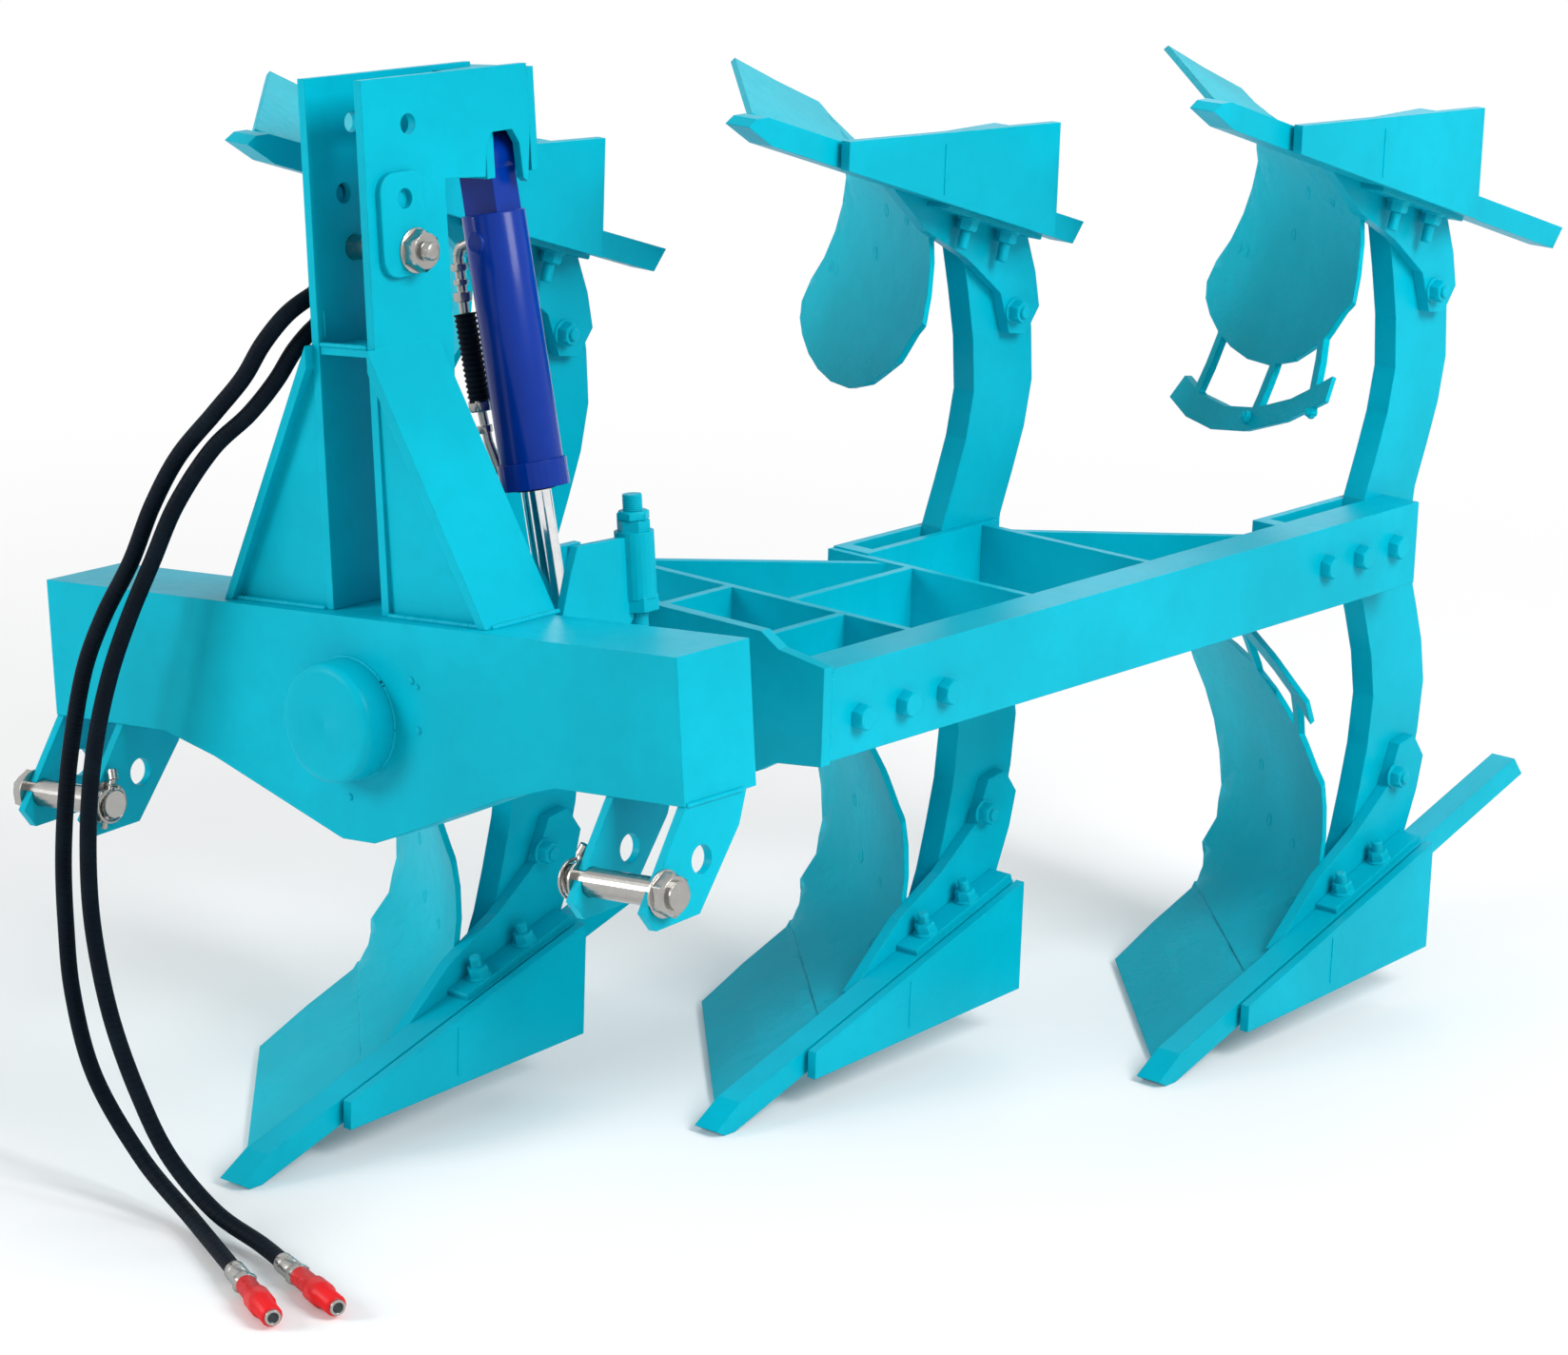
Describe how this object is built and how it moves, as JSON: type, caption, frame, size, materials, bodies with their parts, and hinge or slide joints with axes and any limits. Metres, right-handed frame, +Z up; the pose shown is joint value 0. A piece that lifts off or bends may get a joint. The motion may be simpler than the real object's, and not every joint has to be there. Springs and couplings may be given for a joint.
{
  "type": "reversible mouldboard plough",
  "caption": "Mounted reversible mouldboard plough: three-point headstock with turnover cylinder, frame and mirrored upper and lower plough bodies on curved shanks.",
  "frame": {"origin": "centre of the bounding box's base on the ground, hoses and couplers left out", "axes": "-Y towards the tractor, +X the machine's left seen from behind it, +Z up"},
  "size_m": [1.3172, 2.3869, 1.4764],
  "materials": {
    "paint": "gloss",
    "board_paint": "satin",
    "blue_paint": "gloss",
    "chrome": "polished",
    "bare_steel": "satin",
    "hose": "matte",
    "red_paint": "satin"
  },
  "bodies": {
    "headstock": {"cross_beam": "paint", "bearing_cap": "paint", "mast_side_left": "paint", "mast_side_right": "paint", "mast_web": "paint", "eye_bracket": "paint", "hitch_plate_left_outer": "paint", "hitch_plate_left_inner": "paint", "hitch_plate_right_inner": "paint", "hitch_plate_right_outer": "paint", "turn_stop_left": "paint", "turn_stop_right": "paint", "eye_pin": "chrome", "top_link_pin": "chrome", "hitch_pin_left": "chrome", "hitch_pin_right": "chrome", "valve_block": "bare_steel", "hose_1": "hose", "hose_2": "hose", "coupler_1": "red_paint", "coupler_2": "red_paint"},
    "cylinder_barrel": {"cylinder_barrel": "blue_paint"},
    "cylinder_rod": {"cylinder_rod": "chrome"},
    "plough_frame": {"turnover_shaft": "paint", "front_plate": "paint", "main_rail": "paint", "shank_holder_1": "paint", "shank_holder_2": "paint", "shank_holder_3": "paint", "ladder_front": "paint", "ladder_middle": "paint", "ladder_rear": "paint", "shank_1": "paint", "shank_2": "paint", "shank_3": "paint", "share_lower_1": "board_paint", "mouldboard_lower_1": "board_paint", "share_upper_1": "board_paint", "mouldboard_upper_1": "board_paint", "share_lower_2": "board_paint", "mouldboard_lower_2": "board_paint", "share_upper_2": "board_paint", "mouldboard_upper_2": "board_paint", "share_lower_3": "board_paint", "mouldboard_lower_3": "board_paint", "share_upper_3": "board_paint", "mouldboard_upper_3": "board_paint", "landside_lower_1": "paint", "point_bar_lower_1": "paint", "landside_upper_1": "paint", "point_bar_upper_1": "paint", "landside_lower_2": "paint", "point_bar_lower_2": "paint", "landside_upper_2": "paint", "point_bar_upper_2": "paint", "landside_lower_3": "paint", "point_bar_lower_3": "paint", "landside_upper_3": "paint", "point_bar_upper_3": "paint"}
  },
  "joints": [
    {"name": "turnover", "type": "hinge", "parent": "headstock", "child": "plough_frame", "pos_m": [0.07361, -1.01454, 0.692], "axis": [0, -1, 0], "range_deg": [0, 192]},
    {"name": "cylinder_swing", "type": "hinge", "parent": "headstock", "child": "cylinder_barrel", "pos_m": [0.0041, -0.71854, 1.35336], "axis": [0, 1, 0], "range_deg": [0, 15.12]},
    {"name": "rod_slide", "type": "slide", "parent": "cylinder_barrel", "child": "cylinder_rod", "axis": [0.2345, 0, -0.9721], "range_m": [-0.1055, 0]}
  ],
  "couplings": [
    {"joint": "cylinder_swing", "follows": "turnover", "ratio": 0.078753}
  ]
}
